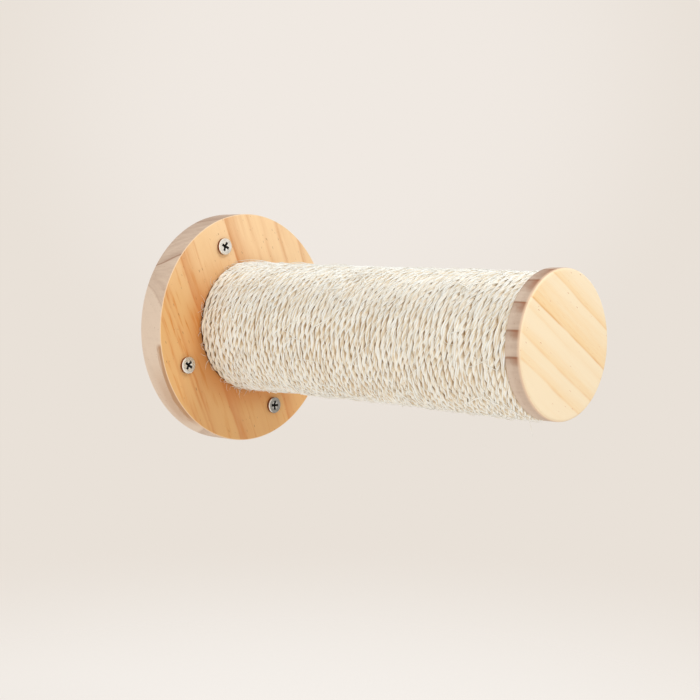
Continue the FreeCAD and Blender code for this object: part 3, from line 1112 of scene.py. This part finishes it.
class SCRATCHER_OT_wall_screws(bpy.types.Operator):
    """Model the four countersunk wall screws with cross recesses and threads"""

    bl_idname = "scratcher.wall_screws"
    bl_label = "Wall Screws"

    def execute(self, context):
        look = context.scene.scratcher_metal
        # Painted shade: the recess is cut with a near-black film
        shade_film = dark_film("recess_shade_film", look.recess)
        thread = 2.5 * MM
        root = thread - look.thread_depth
        shank = 1.85 * MM
        taper = 6 * MM
        for number, (turn, painted_reflection) in enumerate(SCREWS, start=1):
            node = "wall_screw_%d" % number
            x, z, head, top, tip = node_place(node)
            zinc = metal("screw_zinc_%d" % number, look.zinc, 0.26, (x, z, tuple(look.stain_and_shade), painted_reflection))
            rim = top + 1.85 * MM
            body = lathe("screw_%d" % number, [
                (head - 0.3 * MM, top),
                (head - 0.1 * MM, top + 0.06 * MM),
                (head, top + 0.22 * MM),
                (head, rim),
                (shank, rim + head - shank),
                (shank, 0.3 * MM),
                (root, 1.0 * MM),
                (root, tip - taper),
                (0.08 * MM, tip - 0.1 * MM),
            ], 48, x, z)
            body.data.materials.append(zinc)
            dish = lathe("recess_dish", [
                (0.37 * look.recess_span, top - 0.2 * MM),
                (0.16 * look.recess_span, top + 0.5 * MM),
            ], 32, x, z)
            dish.data.materials.append(zinc)
            combine(body, dish, "DIFFERENCE")
            combine(body, cross_cutter(look, x, z, top, turn, shade_film), "DIFFERENCE")
            ridge = screw_thread(look, x, z, 0.8 * MM, tip, thread, taper)
            ridge.data.materials.append(zinc)
            combine(body, ridge, "UNION")
            smooth_shade(body)
            hand_over(body, None, "zinc_steel", node)
        return {"FINISHED"}


class SCRATCHER_OT_hardware(bpy.types.Operator):
    """Model the clamp bolt and washer, and finish the hidden insert, dowels and core"""

    bl_idname = "scratcher.hardware"
    bl_label = "Clamp Hardware"

    def execute(self, context):
        look = context.scene.scratcher_metal
        wood = context.scene.scratcher_wood
        zinc = metal("zinc_plate", look.zinc, 0.3)
        _, _, corner, bolt_end, head_top = node_place("clamp_bolt")
        _, _, washer_radius, washer_low, seat = node_place("clamp_washer")
        flats = corner * math.sqrt(3) / 2
        slope = math.tan(math.radians(30))
        drop = (corner - flats) * slope
        head = lathe("bolt", [(corner, seat), (corner, head_top)], 6)
        crown = lathe("crown", [
            (2 * corner, seat - CUT_PAST),
            (2 * corner, head_top - drop - corner * slope),
            (flats * 0.97, head_top),
        ], 96)
        combine(head, crown, "INTERSECT")
        shank = lathe("shank", [
            (BOLT_RADIUS, seat + 0.5 * MM),
            (BOLT_RADIUS, bolt_end + 0.8 * MM),
            (0.8 * BOLT_RADIUS, bolt_end),
        ], 48)
        combine(head, shank, "UNION")
        smooth_shade(head)
        hand_over(head, zinc, "zinc_steel", "clamp_bolt")
        washer = lathe("washer", [(washer_radius, seat), (washer_radius, washer_low)], 96)
        drill(washer, BOLT_HOLE, seat + CUT_PAST, washer_low - CUT_PAST)
        round_edges(washer, 0.25 * MM, 2, washer_radius)
        smooth_shade(washer)
        dull_zinc = metal("washer_zinc", scaled(look.zinc, 0.45), 0.45)
        hand_over(washer, dull_zinc, "zinc_steel", "clamp_washer")
        dress("threaded_insert", metal("turned_brass", look.brass, 0.3))
        dress("post_core", plain_wood("core_pine", wood.core))
        beech = plain_wood("dowel_beech", wood.dowel)
        for node in ("base_dowel_left", "base_dowel_right", "cap_dowel_left", "cap_dowel_right"):
            dress(node, beech)
        return {"FINISHED"}


def lamp(name, place, target, size, power, tint):
    """Soft square lamp aimed at a point."""
    light = bpy.data.lights.new(name, "AREA")
    light.size = size
    light.color = tint
    light.energy = power
    holder = bpy.data.objects.new(name, light)
    holder.location = place
    holder.rotation_euler = (Vector(target) - Vector(place)).to_track_quat("-Z", "Y").to_euler()
    bpy.context.scene.collection.objects.link(holder)


class SCRATCHER_OT_stage(bpy.types.Operator):
    """Set the camera, the soft light, the pale floor and the background"""

    bl_idname = "scratcher.stage"
    bl_label = "Stage"

    def execute(self, context):
        stage = context.scene.scratcher_stage
        scene = context.scene
        scene.view_settings.view_transform = "Standard"
        camera = bpy.data.objects.new("camera", bpy.data.cameras.new("camera"))
        camera.data.lens = stage.lens
        camera.data.sensor_width = 36
        azimuth, elevation = stage.camera_azimuth, stage.camera_elevation
        level = math.cos(elevation)
        back = Vector((math.sin(azimuth) * level, -math.cos(azimuth) * level, math.sin(elevation)))
        camera.rotation_mode = "QUATERNION"
        roll = Quaternion((0, 0, 1), stage.camera_roll)
        camera.rotation_quaternion = (-back).to_track_quat("-Z", "Y") @ roll
        camera.location = stage.camera_place
        scene.collection.objects.link(camera)
        scene.camera = camera

        target = (0, plate_front - post_length / 2, 0)
        lamp("key", (0.18, -0.9, 1.1), target, 0.42, stage.key_power, stage.key_tint)
        lamp("bounce", (-0.85, -0.45, -0.05), target, 0.9, stage.fill_power, stage.sky_tint)

        scene.world = bpy.data.worlds.new("studio")
        studio = Finish(scene.world, "Background")
        studio.set(Color=stage.sky_tint, Strength=stage.sky)
        heading = studio.add("ShaderNodeTexCoord", output="Generated")
        towards = studio.add(
            "ShaderNodeVectorMath", {"operation": "DOT_PRODUCT"},
            [heading, stage.glow_heading], output="Value",
        )
        shade = studio.mix(studio.smooth(towards, 0.965, 0.999), stage.background, stage.glow)
        seen = studio.add("ShaderNodeBackground", inputs=[shade])
        first, second, third = [
            studio.add("ShaderNodeLightPath", output="Is %s Ray" % kind)
            for kind in ("Camera", "Glossy", "Transmission")
        ]
        studio.blend(first.largest(second).largest(third), seen, "World Output")

        bpy.ops.mesh.primitive_circle_add(
            vertices=96, radius=2.5, fill_type="NGON", location=(0, 0, stage.floor_height)
        )
        floor = context.object
        floor.name = "floor"
        bpy.ops.object.transform_apply()
        finish, x, y, _ = new_finish("pale_floor")
        away = (x * x + y * y) ** 0.5
        finish.set(Base_Color=stage.floor, Roughness=0.9)
        glow = finish.add("ShaderNodeEmission", inputs=[stage.floor])
        looked_at = finish.add("ShaderNodeLightPath", output="Is Camera Ray")
        lit = finish.blend(looked_at * 0.75, glow)
        clear = finish.add("ShaderNodeBsdfTransparent")
        finish.blend(finish.smooth(away, 140, 760), clear, "Material Output", lit)
        floor.data.materials.append(finish.owner)
        return {"FINISHED"}


PIECES = (
    SCRATCHER_OT_base_plate,
    SCRATCHER_OT_end_cap,
    SCRATCHER_OT_winding,
    SCRATCHER_OT_fibres,
    SCRATCHER_OT_wall_screws,
    SCRATCHER_OT_hardware,
    SCRATCHER_OT_stage,
)
LOOKS = {
    "scratcher_wood": ScratcherWood,
    "scratcher_rope": ScratcherRope,
    "scratcher_metal": ScratcherMetal,
    "scratcher_stage": ScratcherStage,
}


class SCRATCHER_PT_panel(bpy.types.Panel):
    """Sizes, colours and pieces of the scratching post"""

    bl_label = "Scratching Post"
    bl_idname = "SCRATCHER_PT_panel"
    bl_space_type = "VIEW_3D"
    bl_region_type = "UI"
    bl_category = "Scratcher"

    def draw(self, context):
        for name, look in LOOKS.items():
            box = self.layout.box()
            for key in look.__annotations__:
                box.prop(getattr(context.scene, name), key)
        for piece in PIECES:
            self.layout.operator(piece.bl_idname)


def register():
    for name, look in LOOKS.items():
        bpy.utils.register_class(look)
        setattr(bpy.types.Scene, name, PointerProperty(type=look))
    for piece in (*PIECES, SCRATCHER_PT_panel):
        bpy.utils.register_class(piece)


def unregister():
    for piece in (SCRATCHER_PT_panel, *reversed(PIECES)):
        bpy.utils.unregister_class(piece)
    for name, look in reversed(LOOKS.items()):
        delattr(bpy.types.Scene, name)
        bpy.utils.unregister_class(look)


def main():
    """Make every piece in order."""
    register()
    bpy.ops.scratcher.stage()
    bpy.ops.scratcher.base_plate()
    bpy.ops.scratcher.end_cap()
    bpy.ops.scratcher.winding()
    bpy.ops.scratcher.fibres()
    bpy.ops.scratcher.wall_screws()
    bpy.ops.scratcher.hardware()


if __name__ == "__main__":
    main()
